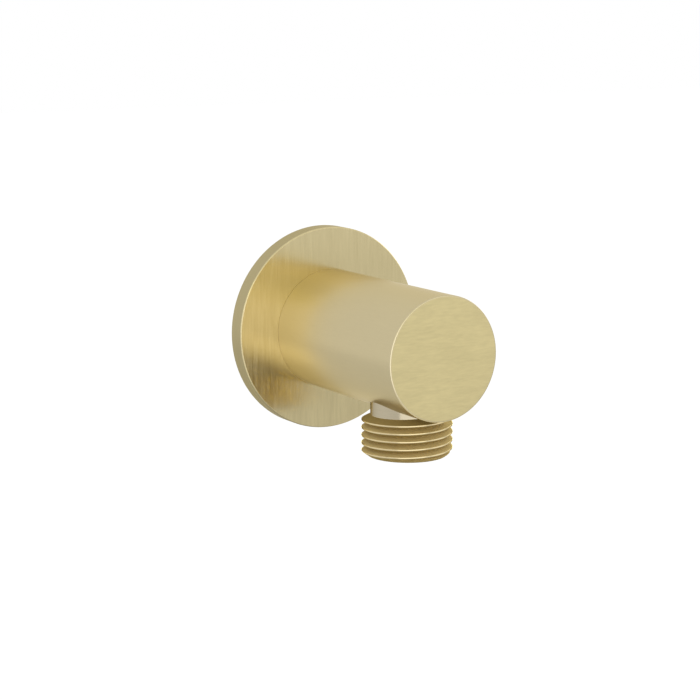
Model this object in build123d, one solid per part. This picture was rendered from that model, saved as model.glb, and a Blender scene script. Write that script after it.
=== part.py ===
from build123d import *
import os
from math import radians, tan

# Wall outlet elbow for a shower hose, in millimetres. The origin is the middle of the rose's back, on the
# face of the wall. The wall is on the +Y side, the body stands out along -Y, and the hose hangs along -Z.

# Pipe thread G1/2 at the wall and at the hose, drawn plain at its major diameter
thread_diameter = 20.955
thread_tip_depth = 1.38
thread_tip_length = 1.0
relief_flank_angle = 30.0

# Body, turned from round bar and drilled from the wall side
body_diameter = 28.7
projection = 53.2
end_edge_radius = 0.5
waterway_diameter = 10.0
waterway_overrun = 1.0
drill_point_angle = 118.0

# Inlet spigot behind the body's shoulder
inlet_reach = 13.0
inlet_thread_setback = 0.3
inlet_relief_depth = 1.53

# Rose, a flat disc held between the body's shoulder and the wall
rose_diameter = 49.0
rose_thickness = 4.5
rose_edge_break = 0.2
rose_rim_width = 2.0
rose_bore_clearance = 0.25

# Soft ring on the spigot's relief that grips the rose's bore
ring_width = 1.8
ring_clearance = 0.02

# Gasket in the rose's back, flush with the wall
gasket_width = 7.0
gasket_thickness = 1.8
gasket_clearance = 0.1

# Outlet nipple, screwed into the body from below
outlet_distance = 38.5
neck_diameter = 16.9
neck_showing = 0.7
outlet_thread_length = 9.35
outlet_bore_diameter = 9.0
stem_shoulder = 0.95
stem_length = 3.1
screw_clearance = 0.05

# Hexagon socket for the key that tightens the nipple
key_step = 0.5
key_depth = 7.0
key_lead_in = 0.4

# Flat seal between the nipple's top and its seat in the body
seal_thickness = 0.9
seal_margin = 0.2
seat_wall = 1.0

# Radii and places worked out from the sizes above
thread_radius = thread_diameter / 2
tip_radius = thread_radius - thread_tip_depth
body_radius = body_diameter / 2
waterway_radius = waterway_diameter / 2
inlet_relief_radius = thread_radius - inlet_relief_depth
rose_bore_radius = thread_radius + rose_bore_clearance
neck_radius = neck_diameter / 2
stem_radius = neck_radius - stem_shoulder
outlet_bore_radius = outlet_bore_diameter / 2
seal_seat_z = -(waterway_radius + seat_wall)
stem_top_z = seal_seat_z - seal_thickness
neck_top_z = stem_top_z - stem_length
neck_end_z = -(body_radius + neck_showing)
outlet_end_z = neck_end_z - outlet_thread_length
outlet_axis = Pos(0, -outlet_distance, 0)


def flank_length(relief_radius):
    """Length along the axis of the slope that rises from a relief to the full thread."""
    return (thread_radius - relief_radius) * tan(radians(relief_flank_angle))


def turned_about_y(outline):
    """A turned solid on the body's axis. The outline's points are (radius, y)."""
    return revolve(make_face(Polyline(*outline, close=True)), Axis.Y)


def turned_about_z(outline):
    """A turned solid on the Z axis. The outline's points are (radius, z)."""
    return revolve(Plane.XZ * make_face(Polyline(*outline, close=True)), Axis.Z)


def nipple_seat():
    """The stepped hole under the body: a bore for the neck, a tapped hole for the stem, a way to the bore."""
    below = -body_diameter
    tapped_radius = stem_radius + screw_clearance
    counterbore_radius = neck_radius + screw_clearance
    hole = turned_about_z(
        [
            (0, 0),
            (outlet_bore_radius, 0),
            (outlet_bore_radius, seal_seat_z),
            (tapped_radius, seal_seat_z),
            (tapped_radius, neck_top_z),
            (counterbore_radius, neck_top_z),
            (counterbore_radius, below),
            (0, below),
        ]
    )
    return outlet_axis * hole


def elbow_body():
    """The turned bar with its inlet spigot, blind waterway, rounded end and the seat for the nipple."""
    shoulder = -rose_thickness
    thread_start = inlet_thread_setback
    relief_end = thread_start - flank_length(inlet_relief_radius)
    drill_depth = -(outlet_distance + outlet_bore_radius + waterway_overrun)
    drill_tip = drill_depth - waterway_radius / tan(radians(drill_point_angle / 2))
    bar = turned_about_y(
        [
            (0, -projection),
            (body_radius, -projection),
            (body_radius, shoulder),
            (inlet_relief_radius, shoulder),
            (inlet_relief_radius, relief_end),
            (thread_radius, thread_start),
            (thread_radius, inlet_reach - thread_tip_length),
            (tip_radius, inlet_reach),
            (waterway_radius, inlet_reach),
            (waterway_radius, drill_depth),
            (0, drill_tip),
        ]
    )
    end_edge = bar.edges().group_by(Axis.Y)[0]
    return fillet(end_edge, end_edge_radius) - nipple_seat()


def wall_rose():
    """The disc, with a broken front edge, a bore for the spigot and a recess for the gasket in its back."""
    rose_radius = rose_diameter / 2
    recess_outer = rose_radius - rose_rim_width
    recess_inner = recess_outer - gasket_width - 2 * gasket_clearance
    disc = turned_about_y(
        [
            (rose_bore_radius, -rose_thickness),
            (rose_radius, -rose_thickness),
            (rose_radius, 0),
            (recess_outer, 0),
            (recess_outer, -gasket_thickness),
            (recess_inner, -gasket_thickness),
            (recess_inner, 0),
            (rose_bore_radius, 0),
        ]
    )
    front_edge = disc.edges().group_by(Axis.Y)[0].sort_by(SortBy.RADIUS)[-1]
    return chamfer(front_edge, rose_edge_break)


def wall_gasket():
    """The flat soft ring that fills the rose's recess."""
    outer = rose_diameter / 2 - rose_rim_width - gasket_clearance
    inner = outer - gasket_width
    return turned_about_y([(inner, -gasket_thickness), (outer, -gasket_thickness), (outer, 0), (inner, 0)])


def rose_ring():
    """The square-cut ring on the spigot's relief, in the middle of the rose's bore."""
    inner = inlet_relief_radius + ring_clearance
    outer = rose_bore_radius - ring_clearance
    front = -(rose_thickness + ring_width) / 2
    back = front + ring_width
    return turned_about_y([(inner, front), (outer, front), (outer, back), (inner, back)])


def key_socket():
    """The hexagon at the outlet's mouth, with a cone that leads the key in."""
    flat_radius = outlet_bore_radius + key_step
    hexagon = RegularPolygon(flat_radius, 6, major_radius=False)
    socket = Pos(0, 0, outlet_end_z) * extrude(hexagon, key_depth)
    mouth_radius = flat_radius + key_lead_in
    lead_in = turned_about_z(
        [
            (0, outlet_end_z),
            (mouth_radius, outlet_end_z),
            (outlet_bore_radius, outlet_end_z + mouth_radius - outlet_bore_radius),
            (0, outlet_end_z + mouth_radius - outlet_bore_radius),
        ]
    )
    return socket + lead_in


def outlet_nipple():
    """The turned nipple: stem in the body, plain neck, thread for the hose, through bore and key socket."""
    thread_start = neck_end_z - flank_length(neck_radius)
    nipple = turned_about_z(
        [
            (outlet_bore_radius, stem_top_z),
            (stem_radius, stem_top_z),
            (stem_radius, neck_top_z),
            (neck_radius, neck_top_z),
            (neck_radius, neck_end_z),
            (thread_radius, thread_start),
            (thread_radius, outlet_end_z + thread_tip_length),
            (tip_radius, outlet_end_z),
            (outlet_bore_radius, outlet_end_z),
        ]
    )
    return outlet_axis * (nipple - key_socket())


def nipple_seal():
    """The flat ring pressed between the nipple's top and the seat above it."""
    inner = outlet_bore_radius + seal_margin
    outer = stem_radius - seal_margin
    low, high = stem_top_z, seal_seat_z
    ring = turned_about_z([(inner, low), (outer, low), (outer, high), (inner, high)])
    return outlet_axis * ring


os.makedirs("parts", exist_ok=True)
for piece in (elbow_body, wall_rose, wall_gasket, rose_ring, outlet_nipple, nipple_seal):
    export_step(piece(), f"parts/{piece.__name__}.step")
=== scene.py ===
from math import cos, pi, radians, sin, tan

import bmesh
import bpy
import numpy as np
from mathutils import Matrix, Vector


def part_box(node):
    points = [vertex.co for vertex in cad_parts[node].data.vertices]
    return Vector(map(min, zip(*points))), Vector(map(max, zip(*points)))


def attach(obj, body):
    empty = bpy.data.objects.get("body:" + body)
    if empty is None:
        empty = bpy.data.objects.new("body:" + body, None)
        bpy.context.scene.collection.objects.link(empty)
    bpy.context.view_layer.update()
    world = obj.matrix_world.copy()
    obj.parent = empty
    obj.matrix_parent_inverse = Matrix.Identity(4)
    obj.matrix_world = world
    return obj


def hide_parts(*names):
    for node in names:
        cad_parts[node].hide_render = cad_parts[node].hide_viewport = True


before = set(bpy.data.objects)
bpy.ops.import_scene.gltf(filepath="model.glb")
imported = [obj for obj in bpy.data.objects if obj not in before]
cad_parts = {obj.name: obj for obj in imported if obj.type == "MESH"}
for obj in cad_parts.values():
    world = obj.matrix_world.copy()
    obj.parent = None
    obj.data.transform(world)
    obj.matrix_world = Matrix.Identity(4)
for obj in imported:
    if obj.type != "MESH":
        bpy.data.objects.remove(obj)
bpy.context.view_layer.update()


# Elbow body: a brass bar turned round, with a brushed flat end, a satin side and a finely rounded end edge.
# Behind its shoulder a spigot with a pipe thread screws into the wall, and a waterway is drilled along it.
# A stepped seat for the outlet nipple is bored from below. The spigot and the bores are left as turned.

mm = 0.001
body_low, body_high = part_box("elbow_body")
nipple_low, nipple_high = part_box("outlet_nipple")
rose_low, rose_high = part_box("wall_rose")

body_radius = body_high.x
body_end = body_low.y
shoulder = rose_low.y
end_rounding = 0.35 * mm
shoulder_rounding = 0.08 * mm

thread_radius = nipple_high.x
thread_pitch = 1.814 * mm
flank_angle = radians(27.5)
crest_half_width = 0.16 * mm
crest_softness = 0.08 * mm
thread_tip_length = 1.0 * mm
thread_tip_depth = 1.38 * mm
thread_tip_radius = thread_radius - thread_tip_depth
thread_row_count = 230
relief_slope = tan(radians(60))

spigot_end = body_high.y
spigot_thread_start = 0.3 * mm
spigot_relief_depth = 1.53 * mm
spigot_relief_radius = thread_radius - spigot_relief_depth

waterway_radius = 5.0 * mm
waterway_depth = -44.0 * mm
waterway_rounding = 0.2 * mm
drill_half_angle = radians(59)
drill_point = waterway_depth - waterway_radius / tan(drill_half_angle)

outlet_place = (nipple_low.y + nipple_high.y) / 2
outlet_bore_radius = 4.5 * mm
neck_radius = 8.45 * mm
stem_radius = 7.5 * mm
seal_seat = -6.0 * mm
neck_top = -10.0 * mm
screw_clearance = 0.05 * mm


def outline(corners, steps=8, support=0.06 * mm):
    """Points (radius, place) of an outline. Each corner (radius, place, rounding) with a rounding is cut by
    an arc that touches both of its sides, and a point just before and after the arc keeps the sides flat."""
    corners = np.array(corners)
    points = [corners[0, :2]]
    for before, corner, after in zip(corners[:-2], corners[1:-1], corners[2:]):
        if corner[2] == 0:
            points.append(corner[:2])
            continue
        to_before = (before - corner)[:2] / np.linalg.norm((before - corner)[:2])
        to_after = (after - corner)[:2] / np.linalg.norm((after - corner)[:2])
        half = np.arccos(to_before @ to_after) / 2
        reach = corner[2] / np.tan(half)
        centre = corner[:2] + (to_before + to_after) / (2 * np.cos(half)) * corner[2] / np.sin(half)
        start = corner[:2] + to_before * reach - centre
        end = corner[:2] + to_after * reach - centre
        sweep = pi - 2 * half
        share = np.linspace(0, 1, steps + 1)[:, None]
        arc = centre + (np.sin((1 - share) * sweep) * start + np.sin(share * sweep) * end) / np.sin(sweep)
        points += [arc[0] + to_before * support, *arc, arc[-1] + to_after * support]
    points.append(corners[-1, :2])
    return np.array(points)


def turned(radius, along, turn):
    """Surface turned on the bar's axis: each point lies its radius away from the axis, at its place along it,
    turned from straight down by its angle."""
    radius, along, turn = np.broadcast_arrays(radius, along, turn)
    return np.stack([radius * np.sin(turn), along, -radius * np.cos(turn)], axis=-1)


def turned_outline(corners, turn):
    """Surface turned on the bar's axis from an outline's corners."""
    points = outline(corners)
    return turned(points[:, :1], points[:, 1:], turn)


def standing(radius, height, turn):
    """Surface on the outlet's upright axis: each point lies its radius away from the axis, at its height,
    turned by its angle from the bar's right."""
    radius, height, turn = np.broadcast_arrays(radius, height, turn)
    return np.stack([radius * np.cos(turn), outlet_place + radius * np.sin(turn), height], axis=-1)


def softly_least(first, second, softness=0.04 * mm):
    """The smaller of two radii, with the corner where they cross rounded over about the given softness."""
    return (first + second - np.sqrt((first - second) ** 2 + softness**2)) / 2


def repeated(distance):
    """Distance along the axis to the nearest crest of an endless thread, from the distance to one crest."""
    return np.abs((distance / thread_pitch + 0.5) % 1 - 0.5) * thread_pitch


def pipe_thread(away):
    """Radius of a G1/2 thread at a distance along its axis from the nearest crest: a narrow flat on the
    crest, then a straight flank at the flank angle to the radius, down to a sharp root halfway to the next
    crest."""
    flank = thread_radius - (away - crest_half_width) / tan(flank_angle)
    return softly_least(thread_radius, flank, crest_softness)


columns = 160
cells = 72
half_turn = pi * cells / columns
whole_turn = np.linspace(-pi, pi, columns + 1)[None, :]
outside_window = np.linspace(half_turn, 2 * pi - half_turn, columns - cells + 1)[None, :]
window_rows = np.linspace(-1, 1, cells + 1)[:, None]
window_sides = np.arange(4 * cells + 1) / cells
window_corners = np.arange(5)
hole_bearing = (window_sides / 2 - 0.75) * pi
body_window = 12.0 * mm
waterway_window = 5.2 * mm


def cross_hole(radius, hole_radius, half_length, rings=10):
    """Part of the bar's round wall, from a window wrapped on it in to a hole bored straight across it: the
    angle and the place along run evenly from the window's edge to the hole's edge."""
    window_turn = half_turn * np.interp(window_sides, window_corners, [-1, 1, 1, -1, -1])
    window_along = half_length * np.interp(window_sides, window_corners, [-1, -1, 1, 1, -1])
    hole_turn = np.arcsin(hole_radius / radius * np.cos(hole_bearing))
    hole_along = hole_radius * np.sin(hole_bearing)
    share = np.linspace(0, 1, rings + 1)[:, None]
    turn = window_turn + (hole_turn - window_turn) * share
    along = outlet_place + window_along + (hole_along - window_along) * share
    return turned(radius, along, turn)


def skin(name, grids, weld=0.0005 * mm, sharp=radians(32)):
    """One closed mesh object from grids of points: neighbours in a grid are joined by quads, the grids are
    welded where their edges meet, faces are turned outwards, and only edges past the sharp angle stay
    sharp."""
    quads = []
    first = 0
    for grid in grids:
        index = first + np.arange(grid.shape[0] * grid.shape[1]).reshape(grid.shape[:2])
        corners = [index[:-1, :-1], index[:-1, 1:], index[1:, 1:], index[1:, :-1]]
        quads.append(np.stack(corners, axis=-1).reshape(-1, 4))
        first += index.size
    mesh = bpy.data.meshes.new(name)
    points = np.concatenate([grid.reshape(-1, 3) for grid in grids])
    mesh.from_pydata(points.tolist(), [], np.concatenate(quads).tolist())
    shell = bmesh.new()
    shell.from_mesh(mesh)
    bmesh.ops.remove_doubles(shell, verts=shell.verts, dist=weld)
    bmesh.ops.recalc_face_normals(shell, faces=shell.faces)
    shell.to_mesh(mesh)
    shell.free()
    mesh.polygons.foreach_set("use_smooth", np.ones(len(mesh.polygons), dtype=bool))
    mesh.set_sharp_from_angle(angle=sharp)
    piece = bpy.data.objects.new(name, mesh)
    bpy.context.scene.collection.objects.link(piece)
    return piece


body_front = turned_outline(
    [
        (0, body_end, 0),
        (body_radius, body_end, end_rounding),
        (body_radius, outlet_place - body_window, 0),
    ],
    whole_turn,
)
body_band = turned(body_radius, outlet_place + body_window * window_rows, outside_window)
body_hole = cross_hole(body_radius, neck_radius + screw_clearance, body_window)
thread_rise = (thread_radius - spigot_relief_radius) / relief_slope
relief_end = spigot_thread_start - thread_rise
body_back = turned_outline(
    [
        (body_radius, outlet_place + body_window, 0),
        (body_radius, shoulder, shoulder_rounding),
        (spigot_relief_radius, shoulder, 0),
        (spigot_relief_radius, relief_end, 0),
    ],
    whole_turn,
)

thread_rows = np.linspace(relief_end, spigot_end, thread_row_count)[:, None]
helix = thread_pitch * whole_turn / (2 * pi)
lead_in = spigot_relief_radius + (thread_rows - relief_end) * relief_slope
tip = thread_radius - thread_tip_depth * (thread_rows - spigot_end + thread_tip_length) / thread_tip_length
thread_envelope = softly_least(lead_in, tip)
spigot_thread = softly_least(pipe_thread(repeated(thread_rows + helix)), thread_envelope)
spigot_thread[0] = spigot_relief_radius
spigot_thread[-1] = thread_tip_radius
body_spigot = turned(spigot_thread, thread_rows, whole_turn)

waterway_mouth = turned_outline(
    [
        (thread_tip_radius, spigot_end, 0),
        (waterway_radius, spigot_end, waterway_rounding),
        (waterway_radius, outlet_place + waterway_window, 0),
    ],
    whole_turn,
)
waterway_band = turned(waterway_radius, outlet_place + waterway_window * window_rows, outside_window)
waterway_hole = cross_hole(waterway_radius, outlet_bore_radius, waterway_window)
waterway_end = turned_outline(
    [
        (waterway_radius, outlet_place - waterway_window, 0),
        (waterway_radius, waterway_depth, 0),
        (0, drill_point, 0),
    ],
    whole_turn,
)

seat_radii = np.array([neck_radius, neck_radius, stem_radius, stem_radius])[:, None] + screw_clearance
seat_radii = np.concatenate([seat_radii, np.full((2, 1), outlet_bore_radius)])
seat_turn = hole_bearing[None, :]
mouth_height = -np.sqrt(body_radius**2 - (seat_radii[0] * np.cos(seat_turn)) ** 2)
bore_height = -np.sqrt(waterway_radius**2 - (outlet_bore_radius * np.cos(seat_turn)) ** 2)
step_heights = np.array([neck_top, neck_top, seal_seat, seal_seat])[:, None] + 0 * seat_turn
nipple_seat = standing(seat_radii, np.concatenate([mouth_height, step_heights, bore_height]), seat_turn)

elbow_body = skin(
    "brass_elbow_body",
    [
        body_front,
        body_band,
        body_hole,
        body_back,
        body_spigot,
        waterway_mouth,
        waterway_band,
        waterway_hole,
        waterway_end,
        nipple_seat,
    ],
)


def fill(tree, made, inputs):
    """Sets a node's inputs, keyed by socket name or number. A socket given as the value is linked."""
    for key, value in inputs.items():
        if isinstance(value, bpy.types.NodeSocket):
            tree.links.new(value, made.inputs[key])
        else:
            made.inputs[key].default_value = value


def node(tree, kind, inputs=None, **settings):
    """A new shader node with its settings and its inputs."""
    made = tree.nodes.new("ShaderNode" + kind)
    for name, value in settings.items():
        setattr(made, name, value)
    fill(tree, made, inputs or {})
    return made


def mixed(tree, share, first, second, kind="FLOAT"):
    """Output of a mix node: the first value or colour where share is 0, and the second where it is 1."""
    first_socket, second_socket, result = {"FLOAT": (2, 3, 0), "RGBA": (6, 7, 2)}[kind]
    inputs = {0: share, first_socket: first, second_socket: second}
    return node(tree, "Mix", inputs, data_type=kind).outputs[result]


def group_of(name, inputs, outputs):
    """An empty shader node group with named sockets, and its input and output nodes."""
    tree = bpy.data.node_groups.new(name, "ShaderNodeTree")
    for socket, kind in inputs.items():
        tree.interface.new_socket(socket, in_out="INPUT", socket_type="NodeSocket" + kind)
    for socket, kind in outputs.items():
        tree.interface.new_socket(socket, in_out="OUTPUT", socket_type="NodeSocket" + kind)
    return tree, tree.nodes.new("NodeGroupInput"), tree.nodes.new("NodeGroupOutput")


def brushed_lines_group(wider_scale=0.31, wider_share=0.4):
    """Fine lines left by a brushing belt: noise stretched along the grain, at a narrow and at a wider
    spacing. Grain gives lines per metre along each axis. Lines runs from 0 to 1, and Cloud is a soft
    unevenness over centimetres."""
    tree, given, made = group_of(
        "brushed lines",
        {"Place": "Vector", "Grain": "Vector"},
        {"Lines": "Float", "Cloud": "Float"},
    )
    both = {0: given.outputs["Place"], 1: given.outputs["Grain"]}
    stretched = node(tree, "VectorMath", both, operation="MULTIPLY").outputs[0]
    wider = node(tree, "VectorMath", {0: stretched, "Scale": wider_scale}, operation="SCALE").outputs[0]
    narrow_lines = node(tree, "TexNoise", {"Vector": stretched, "Scale": 1.0, "Detail": 3.0})
    wide_lines = node(tree, "TexNoise", {"Vector": wider, "Scale": 1.0, "Detail": 2.0})
    lines = mixed(tree, wider_share, narrow_lines.outputs["Fac"], wide_lines.outputs["Fac"])
    spread = node(tree, "MapRange", {"Value": lines, "From Min": 0.3, "From Max": 0.7})
    cloud = node(tree, "TexNoise", {"Vector": given.outputs["Place"], "Scale": 90.0, "Detail": 2.0})
    fill(tree, made, {"Lines": spread.outputs[0], "Cloud": cloud.outputs["Fac"]})
    return tree


brushed_lines = brushed_lines_group()
cloud_share = 0.35


def new_material(name):
    """A new material with nodes, its node tree and its shader."""
    material = bpy.data.materials.new(name)
    material.use_nodes = True
    return material, material.node_tree, material.node_tree.nodes["Principled BSDF"]


def brass(
    name, dull, bright, grain, roughness, line_depth, across="Z", stretch=0.0, glance=(0.9, 0.82, 0.62)
):
    """Plated brass with lines along its grain: they shift the colour from dull to bright, the roughness
    between its two ends, and the normal by a bump of the given depth. Reflections are stretched across the
    grain, round the axis that across names, and take the glance colour at a glancing angle."""
    material, tree, shader = new_material(name)
    place = node(tree, "TexCoord").outputs["Object"]
    brushed = node(tree, "Group", {"Place": place, "Grain": grain}, node_tree=brushed_lines)
    lines = brushed.outputs["Lines"]
    share = mixed(tree, cloud_share, lines, brushed.outputs["Cloud"])
    colour = mixed(tree, share, (*dull, 1), (*bright, 1), "RGBA")
    gloss = node(tree, "MapRange", {"Value": lines, "To Min": roughness[0], "To Max": roughness[1]})
    bump = node(tree, "Bump", {"Strength": 1.0, "Distance": line_depth, "Height": lines})
    inputs = {
        "Metallic": 1.0,
        "Anisotropic": stretch,
        "Specular Tint": (*glance, 1),
        "Base Color": colour,
        "Roughness": gloss.outputs[0],
        "Normal": bump.outputs[0],
    }
    if stretch > 0:
        inputs["Tangent"] = node(tree, "Tangent", direction_type="RADIAL", axis=across).outputs[0]
    fill(tree, shader, inputs)
    return material


def face_values(piece, name):
    """The normal or the centre of each face of a piece, one row per face."""
    values = np.empty(len(piece.data.polygons) * 3)
    piece.data.polygons.foreach_get(name, values)
    return values.reshape(-1, 3)


def give_finishes(piece, finishes, chosen):
    """Puts the finishes on a piece, and on each of its faces the one whose number is chosen for it."""
    for finish in finishes:
        piece.data.materials.append(finish)
    piece.data.polygons.foreach_set("material_index", chosen.astype(np.int32))


satin_side = brass(
    "satin brass",
    dull=(0.545, 0.472, 0.295),
    bright=(0.59, 0.512, 0.322),
    grain=(5000, 700, 5000),
    roughness=(0.3, 0.36),
    line_depth=0.0004 * mm,
)
brushed_end = brass(
    "brushed brass end",
    dull=(0.613, 0.526, 0.278),
    bright=(0.747, 0.642, 0.342),
    grain=(480, 2700, 2700),
    roughness=(0.32, 0.4),
    line_depth=0.002 * mm,
    across="X",
    stretch=0.6,
)
turned_spigot = brass(
    "turned brass spigot",
    dull=(0.5, 0.405, 0.215),
    bright=(0.59, 0.48, 0.255),
    grain=(600, 9000, 600),
    roughness=(0.42, 0.5),
    line_depth=0.0006 * mm,
)

face_margin = 0.01 * mm
wall_margin = 0.2 * mm
facing_front = -0.999
facing = face_values(elbow_body, "normal")
middles = face_values(elbow_body, "center")
on_end = (facing[:, 1] < facing_front) & (middles[:, 1] < body_end + face_margin)
under_side = (np.hypot(middles[:, 0], middles[:, 2]) < body_radius - wall_margin) & ~on_end
inside = under_side & (middles[:, 1] > body_end + end_rounding)
give_finishes(elbow_body, (satin_side, brushed_end, turned_spigot), on_end + 2 * inside)
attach(elbow_body, "root")
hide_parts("elbow_body")


# Outlet nipple: turned from brass bar, and screwed into the body from below with a hexagon key in its mouth.
# Its G1/2 thread takes the nut of the shower hose. The neck is polished, the thread's crests keep the drawn
# skin of the bar, and the tool has left the flanks cut. Flanks that face down carry painted shade under the
# crests, and the top flank carries the painted shadow of the body's end.

nipple_end = nipple_low.z
stem_top = nipple_high.z
stem_rounding = 0.15 * mm
neck_rounding = 0.1 * mm
neck_low = -13.8 * mm
tip_from = nipple_end + thread_tip_length
tip_step = 0.1 * mm
tip_lead = 0.5 * mm
key_flat_radius = 5.0 * mm
key_mouth_radius = 5.4 * mm
key_depth = 7.0 * mm
key_cone_depth = 0.9 * mm
key_wall_from = 1.5 * mm
key_cone_rows = 13
key_wall_rows = 12
first_crest = -15.79 * mm
first_crest_bearing = radians(-122)
thread_start_bearing = first_crest_bearing + radians(100)
thread_start_fade = radians(50)
nipple_columns = 240
nipple_turn = np.linspace(thread_start_bearing - 2 * pi, thread_start_bearing, nipple_columns + 1)[None, :]


def standing_outline(corners, turn):
    """Surface on the outlet's upright axis from an outline's corners."""
    points = outline(corners)
    return standing(points[:, :1], points[:, 1:], turn)


def softly_most(first, second):
    """The larger of two radii, with the corner where they cross rounded."""
    return -softly_least(-first, -second)


def begun_thread(above):
    """Radius of a thread at a height above its top crest: one flank above that crest, and an endless thread
    below it."""
    return pipe_thread(np.where(above > 0, above, repeated(above)))


def hexagon(flat_radius, turn):
    """Radius of a hexagon at an angle: the radius of its flats over the cosine of the angle to the middle of
    the nearest flat."""
    return flat_radius / np.cos((turn + pi / 6) % (pi / 3) - pi / 6)


nipple_stem = standing_outline(
    [
        (outlet_bore_radius, stem_top, 0),
        (stem_radius, stem_top, stem_rounding),
        (stem_radius, neck_top, 0),
        (neck_radius, neck_top, neck_rounding),
        (neck_radius, neck_low, 0),
    ],
    nipple_turn,
)

outlet_rows = np.linspace(neck_low, nipple_end, thread_row_count)[:, None]
above_first = outlet_rows - first_crest - thread_pitch * (nipple_turn - first_crest_bearing) / (2 * pi)
whole_thread = begun_thread(above_first)
late_thread = begun_thread(above_first + thread_pitch)
begun = np.clip((thread_start_bearing - nipple_turn) / thread_start_fade, 0, 1)
outlet_thread = late_thread + (whole_thread - late_thread) * begun**2 * (3 - 2 * begun)
run_out = thread_radius - thread_tip_depth * (tip_from - outlet_rows) / thread_tip_length
tip_rise = neck_radius + (tip_from + tip_lead - outlet_rows) * relief_slope
plain_tip = softly_least(run_out - tip_step, tip_rise)
outlet_thread = softly_most(softly_least(outlet_thread, run_out), plain_tip)
outlet_thread = softly_most(outlet_thread, neck_radius)
outlet_thread[0] = neck_radius
outlet_thread[-1] = thread_tip_radius
nipple_thread = standing(outlet_thread, outlet_rows, nipple_turn)

key_hexagon = hexagon(key_flat_radius, nipple_turn)
cone_rows = np.linspace(0, key_cone_depth, key_cone_rows)
wall_rows = np.linspace(key_wall_from, key_depth, key_wall_rows)
key_rows = np.concatenate([cone_rows, wall_rows])[:, None]
key_wall = standing(np.maximum(key_hexagon, key_mouth_radius - key_rows), nipple_end + key_rows, nipple_turn)
end_radii = np.concatenate([outlet_thread[-1:], np.maximum(key_hexagon, key_mouth_radius)])
end_ring = standing(end_radii, nipple_end, nipple_turn)
bore_radii = np.concatenate([key_hexagon, np.full((2, nipple_columns + 1), outlet_bore_radius)])
bore_heights = np.array([nipple_end + key_depth, nipple_end + key_depth, stem_top])[:, None]
nipple_bore = standing(bore_radii, bore_heights, nipple_turn)
outlet_nipple = skin("brass_outlet_nipple", [nipple_stem, nipple_thread, end_ring, key_wall, nipple_bore])

left_by_tool = {
    "grain": (600, 600, 9000),
    "roughness": (0.75, 0.85),
    "line_depth": 0.0006 * mm,
    "glance": (0.3, 0.25, 0.15),
}
cut_brass = brass(
    "cut brass flanks",
    dull=(0.645, 0.53, 0.26),
    bright=(0.745, 0.61, 0.3),
    **left_by_tool,
)
# Painted shade: a darker copy of the cut brass for the flanks under the crests and for the top flank in the
# body's shadow.
painted_shade_brass = brass(
    "cut brass with painted shade under the crests",
    dull=(0.42, 0.318, 0.124),
    bright=(0.495, 0.377, 0.15),
    **left_by_tool,
)
polished_neck = brass(
    "polished brass neck",
    dull=(0.495, 0.435, 0.31),
    bright=(0.565, 0.497, 0.358),
    grain=(300, 300, 12000),
    roughness=(0.16, 0.22),
    line_depth=0.0002 * mm,
    glance=(0.45, 0.4, 0.32),
)
drawn_crest = brass(
    "drawn brass crests",
    dull=(0.68, 0.565, 0.33),
    bright=(0.76, 0.63, 0.37),
    grain=(600, 600, 9000),
    roughness=(0.16, 0.22),
    line_depth=0.0004 * mm,
    glance=(0.3, 0.25, 0.16),
)

neck_margin = 0.03 * mm
crest_margin = 0.09 * mm
facing_down = -0.3
facing = face_values(outlet_nipple, "normal")
middles = face_values(outlet_nipple, "center")
from_axis = np.hypot(middles[:, 0], middles[:, 1] - outlet_place)
on_neck = (np.abs(from_axis - neck_radius) < neck_margin) & (middles[:, 2] > first_crest)
on_crest = from_axis > thread_radius - crest_margin
above_end = middles[:, 2] > nipple_end + face_margin
on_thread = (from_axis > neck_radius + neck_margin) & above_end & ~on_crest
face_bearing = np.arctan2(middles[:, 1] - outlet_place, middles[:, 0])
turn_from_start = (face_bearing - thread_start_bearing) % (2 * pi) - 2 * pi
first_turn = turn_from_start + thread_start_bearing - first_crest_bearing
face_begun = np.clip(-turn_from_start / thread_start_fade, 0, 1)
top_crest = first_crest + thread_pitch * (first_turn / (2 * pi) - 1 + face_begun)
# Painted shade and shadow: flanks that face down, and the top flank under the body's end, take the darker
# brass.
painted_shade_faces = on_thread & ((facing[:, 2] < facing_down) | (middles[:, 2] > top_crest))
nipple_finishes = (cut_brass, polished_neck, drawn_crest, painted_shade_brass)
give_finishes(outlet_nipple, nipple_finishes, on_neck + 2 * on_crest + 3 * painted_shade_faces)
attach(outlet_nipple, "root")
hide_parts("outlet_nipple")


# Wall rose: a flat brass disc between the body's shoulder and the wall, brushed up and down on its face.
# Its front edge is broken, its rim is left as turned, and its back has a recess for the gasket.

rose_radius = rose_high.x
rose_clearance = 0.25 * mm
rose_bore_radius = thread_radius + rose_clearance
rose_edge = 0.2 * mm
rose_edge_rounding = 0.12 * mm
rose_back_rounding = 0.15 * mm
rim_width = 2.0 * mm
recess_width = 7.2 * mm
recess_depth = 1.8 * mm
recess_outer = rose_radius - rim_width
recess_inner = recess_outer - recess_width
rose_columns = 320
rose_turn = np.linspace(-pi, pi, rose_columns + 1)[None, :]
rose_surface = turned_outline(
    [
        (rose_bore_radius, shoulder, 0),
        (rose_radius - rose_edge, shoulder, rose_edge_rounding),
        (rose_radius, shoulder + rose_edge, rose_edge_rounding),
        (rose_radius, 0, rose_back_rounding),
        (recess_outer, 0, 0),
        (recess_outer, -recess_depth, 0),
        (recess_inner, -recess_depth, 0),
        (recess_inner, 0, 0),
        (rose_bore_radius, 0, rose_back_rounding),
        (rose_bore_radius, shoulder, 0),
    ],
    rose_turn,
)
wall_rose = skin("brass_wall_rose", [rose_surface])

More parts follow.
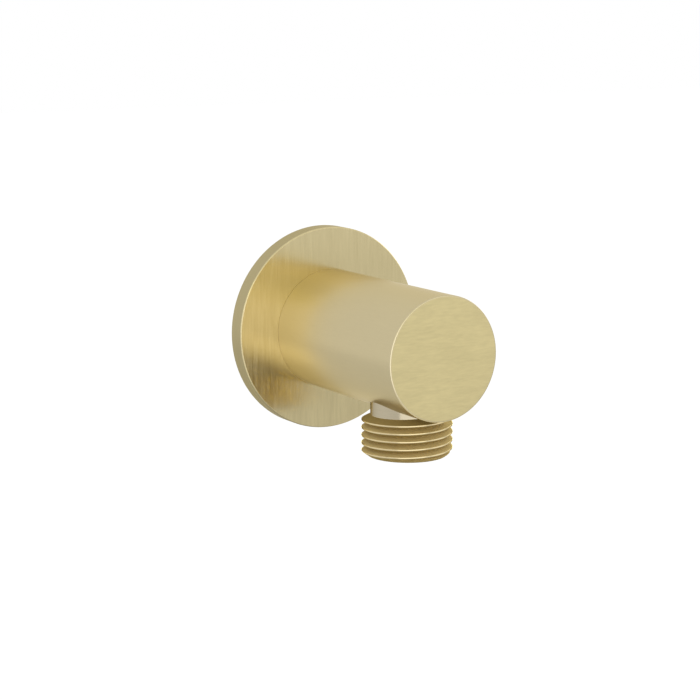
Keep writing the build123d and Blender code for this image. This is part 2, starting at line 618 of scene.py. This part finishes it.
brushed_rose = brass(
    "brushed brass rose",
    dull=(0.545, 0.462, 0.253),
    bright=(0.667, 0.573, 0.33),
    grain=(3000, 3000, 230),
    roughness=(0.18, 0.26),
    line_depth=0.013 * mm,
    across="Z",
    stretch=0.68,
)
turned_rim = brass(
    "turned brass rim",
    dull=(0.42, 0.365, 0.212),
    bright=(0.485, 0.42, 0.245),
    grain=(900, 6000, 900),
    roughness=(0.38, 0.46),
    line_depth=0.001 * mm,
    glance=(0.8, 0.73, 0.55),
)
facing_sideways = 0.3
on_rim = np.abs(face_values(wall_rose, "normal")[:, 1]) < facing_sideways
give_finishes(wall_rose, (brushed_rose, turned_rim), on_rim)
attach(wall_rose, "root")
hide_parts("wall_rose")


# Seals: the gasket in the rose's back, the ring that grips the rose's bore and the flat ring over the nipple.
# All three are cut or moulded from black rubber, with softly rounded edges and a faint moulded grain.

gasket_low, gasket_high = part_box("wall_gasket")
ring_low, ring_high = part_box("rose_ring")
seal_low, seal_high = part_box("nipple_seal")
seal_rounding = 0.18 * mm
gasket_width = 7.0 * mm
ring_clearance = 0.02 * mm
seal_margin = 0.2 * mm
gasket_inner = gasket_high.x - gasket_width
ring_inner = spigot_relief_radius + ring_clearance
seal_inner = outlet_bore_radius + seal_margin


def ring_corners(inner, outer, start, end):
    """Corners of a flat ring with rounded edges, whose outline closes halfway along its inner wall."""
    return [
        (inner, (start + end) / 2, 0),
        (inner, start, seal_rounding),
        (outer, start, seal_rounding),
        (outer, end, seal_rounding),
        (inner, end, seal_rounding),
        (inner, (start + end) / 2, 0),
    ]


def soft_rubber(dark=(0.018, 0.018, 0.019), pale=(0.045, 0.044, 0.043), patch_share=0.6):
    """Matt black rubber: a fine moulded grain in its colour, roughness and bump."""
    material, tree, shader = new_material("soft seal rubber")
    place = node(tree, "TexCoord").outputs["Object"]
    grain = node(tree, "TexNoise", {"Vector": place, "Scale": 4000.0, "Detail": 3.0}).outputs["Fac"]
    patch = node(tree, "TexNoise", {"Vector": place, "Scale": 160.0, "Detail": 2.0}).outputs["Fac"]
    shade = mixed(tree, patch_share, grain, patch)
    gloss = node(tree, "MapRange", {"Value": shade, "To Min": 0.55, "To Max": 0.75})
    bump = node(tree, "Bump", {"Strength": 0.6, "Distance": 0.02 * mm, "Height": grain})
    inputs = {
        "Base Color": mixed(tree, shade, (*dark, 1), (*pale, 1), "RGBA"),
        "Roughness": gloss.outputs[0],
        "Normal": bump.outputs[0],
    }
    fill(tree, shader, inputs)
    return material


rubber = soft_rubber()
gasket_corners = ring_corners(gasket_inner, gasket_high.x, gasket_low.y, gasket_high.y)
grip_corners = ring_corners(ring_inner, ring_high.x, ring_low.y, ring_high.y)
seal_corners = ring_corners(seal_inner, seal_high.x, seal_low.z, seal_high.z)
seals = {
    "wall_gasket": turned_outline(gasket_corners, rose_turn),
    "rose_ring": turned_outline(grip_corners, rose_turn),
    "nipple_seal": standing_outline(seal_corners, nipple_turn),
}
for part, surface in seals.items():
    seal = skin("soft_" + part, [surface])
    seal.data.materials.append(rubber)
    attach(seal, "root")
    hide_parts(part)


# Studio: a pale floor well below the elbow, a white surround and nine soft lamps. Most of the lamps light
# only the pieces that they are meant for, so that each finish looks as it does in the photograph.
# The floor takes the elbow's shadow, and lets a view from below through its underside. In mirrors it
# shows a painted glow, with painted shade straight below the elbow.

white = (1, 1, 1, 1)
floor_drop = 0.5
floor_half = 8.0
floor_grey = (0.52, 0.52, 0.52, 1)
camera_lift = 0.65
# Painted glow that mirrors see on the floor: none under the elbow, rising with distance and towards the wall.
near_painted_glow = 0.4
near_end = 0.8
far_painted_glow = 0.21
far_start = 2.0
far_end = 4.2
roomward_place = -2.0
roomward_painted_glow = -0.06
wallward_place = 1.0
wallward_painted_glow = 0.07
corner_signs = np.array([[-1, -1, 0], [1, -1, 0], [1, 1, 0], [-1, 1, 0]])
floor_mesh = bpy.data.meshes.new("studio_floor")
floor_mesh.from_pydata((corner_signs * floor_half + [0, 0, -floor_drop]).tolist(), [], [(0, 1, 2, 3)])
floor = bpy.data.objects.new("studio_floor", floor_mesh)
bpy.context.scene.collection.objects.link(floor)


def worked_out(tree, operation, first, second):
    """Output of a math node."""
    return node(tree, "Math", {0: first, 1: second}, operation=operation).outputs[0]


def risen(tree, value, start, end, low, high, rise="SMOOTHSTEP"):
    """Output of a map range node: low until the value reaches start, and high once it has reached end."""
    inputs = {"Value": value, "From Min": start, "From Max": end, "To Min": low, "To Max": high}
    return node(tree, "MapRange", inputs, interpolation_type=rise).outputs[0]


def seen_white(tree):
    """1 for rays from the camera, a glossy surface or glass, which show the studio as white, and 0 for the
    rest."""
    path = node(tree, "LightPath").outputs
    camera_or_glossy = worked_out(tree, "MAXIMUM", path["Is Camera Ray"], path["Is Glossy Ray"])
    return worked_out(tree, "MAXIMUM", camera_or_glossy, path["Is Transmission Ray"])


def pale_floor():
    """Pale matt floor, white to the camera apart from the elbow's shadow and clear from below. In mirrors it
    shows a painted glow: none straight below, as painted shade, more with distance and a little more towards
    the wall."""
    material, tree, shader = new_material("pale floor")
    tree.nodes.remove(shader)
    matt = node(tree, "BsdfDiffuse", {"Color": floor_grey})
    place = node(tree, "TexCoord").outputs["Object"]
    distance = node(tree, "VectorMath", {0: place}, operation="LENGTH").outputs["Value"]
    ways = node(tree, "SeparateXYZ", {0: place}).outputs
    # Painted glow for mirrors, with painted shade straight below the elbow.
    near = risen(tree, distance, floor_drop, near_end, 0.0, near_painted_glow)
    far = risen(tree, distance, far_start, far_end, 0.0, far_painted_glow)
    wallward = risen(tree, ways["Y"], roomward_place, wallward_place, roomward_painted_glow, wallward_painted_glow, "LINEAR")
    painted_mirror_glow = worked_out(tree, "ADD", worked_out(tree, "ADD", near, far), wallward)
    from_camera = node(tree, "LightPath").outputs["Is Camera Ray"]
    lift = worked_out(tree, "MULTIPLY", seen_white(tree), mixed(tree, from_camera, painted_mirror_glow, camera_lift))
    glow = node(tree, "Emission", {"Color": white, "Strength": lift})
    lit = node(tree, "AddShader", {0: matt.outputs[0], 1: glow.outputs[0]}).outputs[0]
    clear = node(tree, "BsdfTransparent").outputs[0]
    below = node(tree, "NewGeometry").outputs["Backfacing"]
    surface = node(tree, "MixShader", {0: below, 1: lit, 2: clear})
    fill(tree, tree.nodes["Material Output"], {"Surface": surface.outputs[0]})
    return material


floor_mesh.materials.append(pale_floor())

surround_level = 0.75
seen_level = 1.0
world = bpy.data.worlds.new("white studio")
world.use_nodes = True
bpy.context.scene.world = world
sky = world.node_tree
level = mixed(sky, seen_white(sky), surround_level, seen_level)
fill(sky, sky.nodes["Background"], {"Color": white, "Strength": level})


def soft_lamp(name, direction, distance, size, brightness, tint=(1, 1, 1), only_on=()):
    """An oblong soft lamp that looks at the elbow from a direction. Brightness is what it adds to the
    surround in a mirror. Where pieces are given, it lights only those."""
    lamp = bpy.data.lights.new(name, "AREA")
    lamp.shape = "RECTANGLE"
    lamp.size, lamp.size_y = size
    lamp.energy = brightness * pi * size[0] * size[1]
    lamp.color = tint
    holder = bpy.data.objects.new(name, lamp)
    away = np.array(direction) / np.linalg.norm(direction)
    holder.location = away * distance
    holder.rotation_euler = (np.arccos(away[2]), 0, np.arctan2(away[1], away[0]) + pi / 2)
    holder.visible_camera = False
    bpy.context.scene.collection.objects.link(holder)
    if only_on:
        lit = bpy.data.collections.new("lit_by_" + name)
        for piece in only_on:
            lit.objects.link(piece)
        holder.light_linking.receiver_collection = lit


smooth_pieces = (elbow_body, wall_rose)
soft_lamp(
    "brow_lamp",
    direction=(-0.3, -0.82, 0.5),
    distance=0.75,
    size=(1.0, 0.14),
    brightness=0.8,
    tint=(1, 0.93, 0.3),
    only_on=smooth_pieces,
)
soft_lamp(
    "front_lamp",
    direction=(-0.43, -0.9, -0.06),
    distance=0.75,
    size=(0.84, 0.78),
    brightness=1.0,
    tint=(0.96, 0.98, 1.14),
    only_on=smooth_pieces,
)
soft_lamp(
    "outlet_lamp",
    direction=(-0.34, -0.94, 0),
    distance=0.75,
    size=(1.0, 1.0),
    brightness=0.6,
    only_on=(outlet_nipple,),
)
soft_lamp(
    "right_lamp",
    direction=(0.75, -0.62, -0.1),
    distance=0.6,
    size=(0.45, 0.4),
    brightness=0.3,
    only_on=(outlet_nipple,),
)
soft_lamp(
    "low_lamp",
    direction=(-0.25, -0.68, -0.69),
    distance=0.6,
    size=(0.6, 0.55),
    brightness=0.5,
    only_on=smooth_pieces,
)
soft_lamp(
    "under_lamp",
    direction=(0.1, 0.1, -0.98),
    distance=0.45,
    size=(0.6, 0.6),
    brightness=0.7,
    tint=(1, 0.95, 0.75),
    only_on=(elbow_body,),
)
soft_lamp(
    "back_lamp",
    direction=(0.58, 0.78, -0.2),
    distance=0.5,
    size=(0.25, 0.3),
    brightness=11.5,
    tint=(1, 0.94, 0.3),
    only_on=(outlet_nipple,),
)
soft_lamp(
    "top_lamp",
    direction=(0.45, -0.76, 0.47),
    distance=0.9,
    size=(0.7, 0.4),
    brightness=0.45,
    tint=(1, 0.96, 0.72),
)
soft_lamp(
    "side_lamp",
    direction=(0.93, 0.24, 0.28),
    distance=0.9,
    size=(0.4, 0.3),
    brightness=1.3,
)


# Camera: a long lens about half a metre away, at the photograph's viewing angle.
# Its angles, distance, target and lens were fitted to the edges seen in the photograph.

view_azimuth = radians(-32.01)
view_elevation = radians(10.40)
view_distance = 491.5 * mm
view_target = np.array([5.65, -4.81, -5.97]) * mm
view_back = np.array(
    [sin(view_azimuth) * cos(view_elevation), -cos(view_azimuth) * cos(view_elevation), sin(view_elevation)]
)
lens = bpy.data.cameras.new("camera")
lens.sensor_width = 36.0
lens.lens = 103.74
lens.clip_start = 0.01
camera = bpy.data.objects.new("camera", lens)
camera.location = view_target + view_back * view_distance
camera.rotation_euler = (pi / 2 - view_elevation, 0, view_azimuth)
bpy.context.scene.collection.objects.link(camera)
bpy.context.scene.camera = camera
bpy.context.scene.view_settings.view_transform = "Standard"
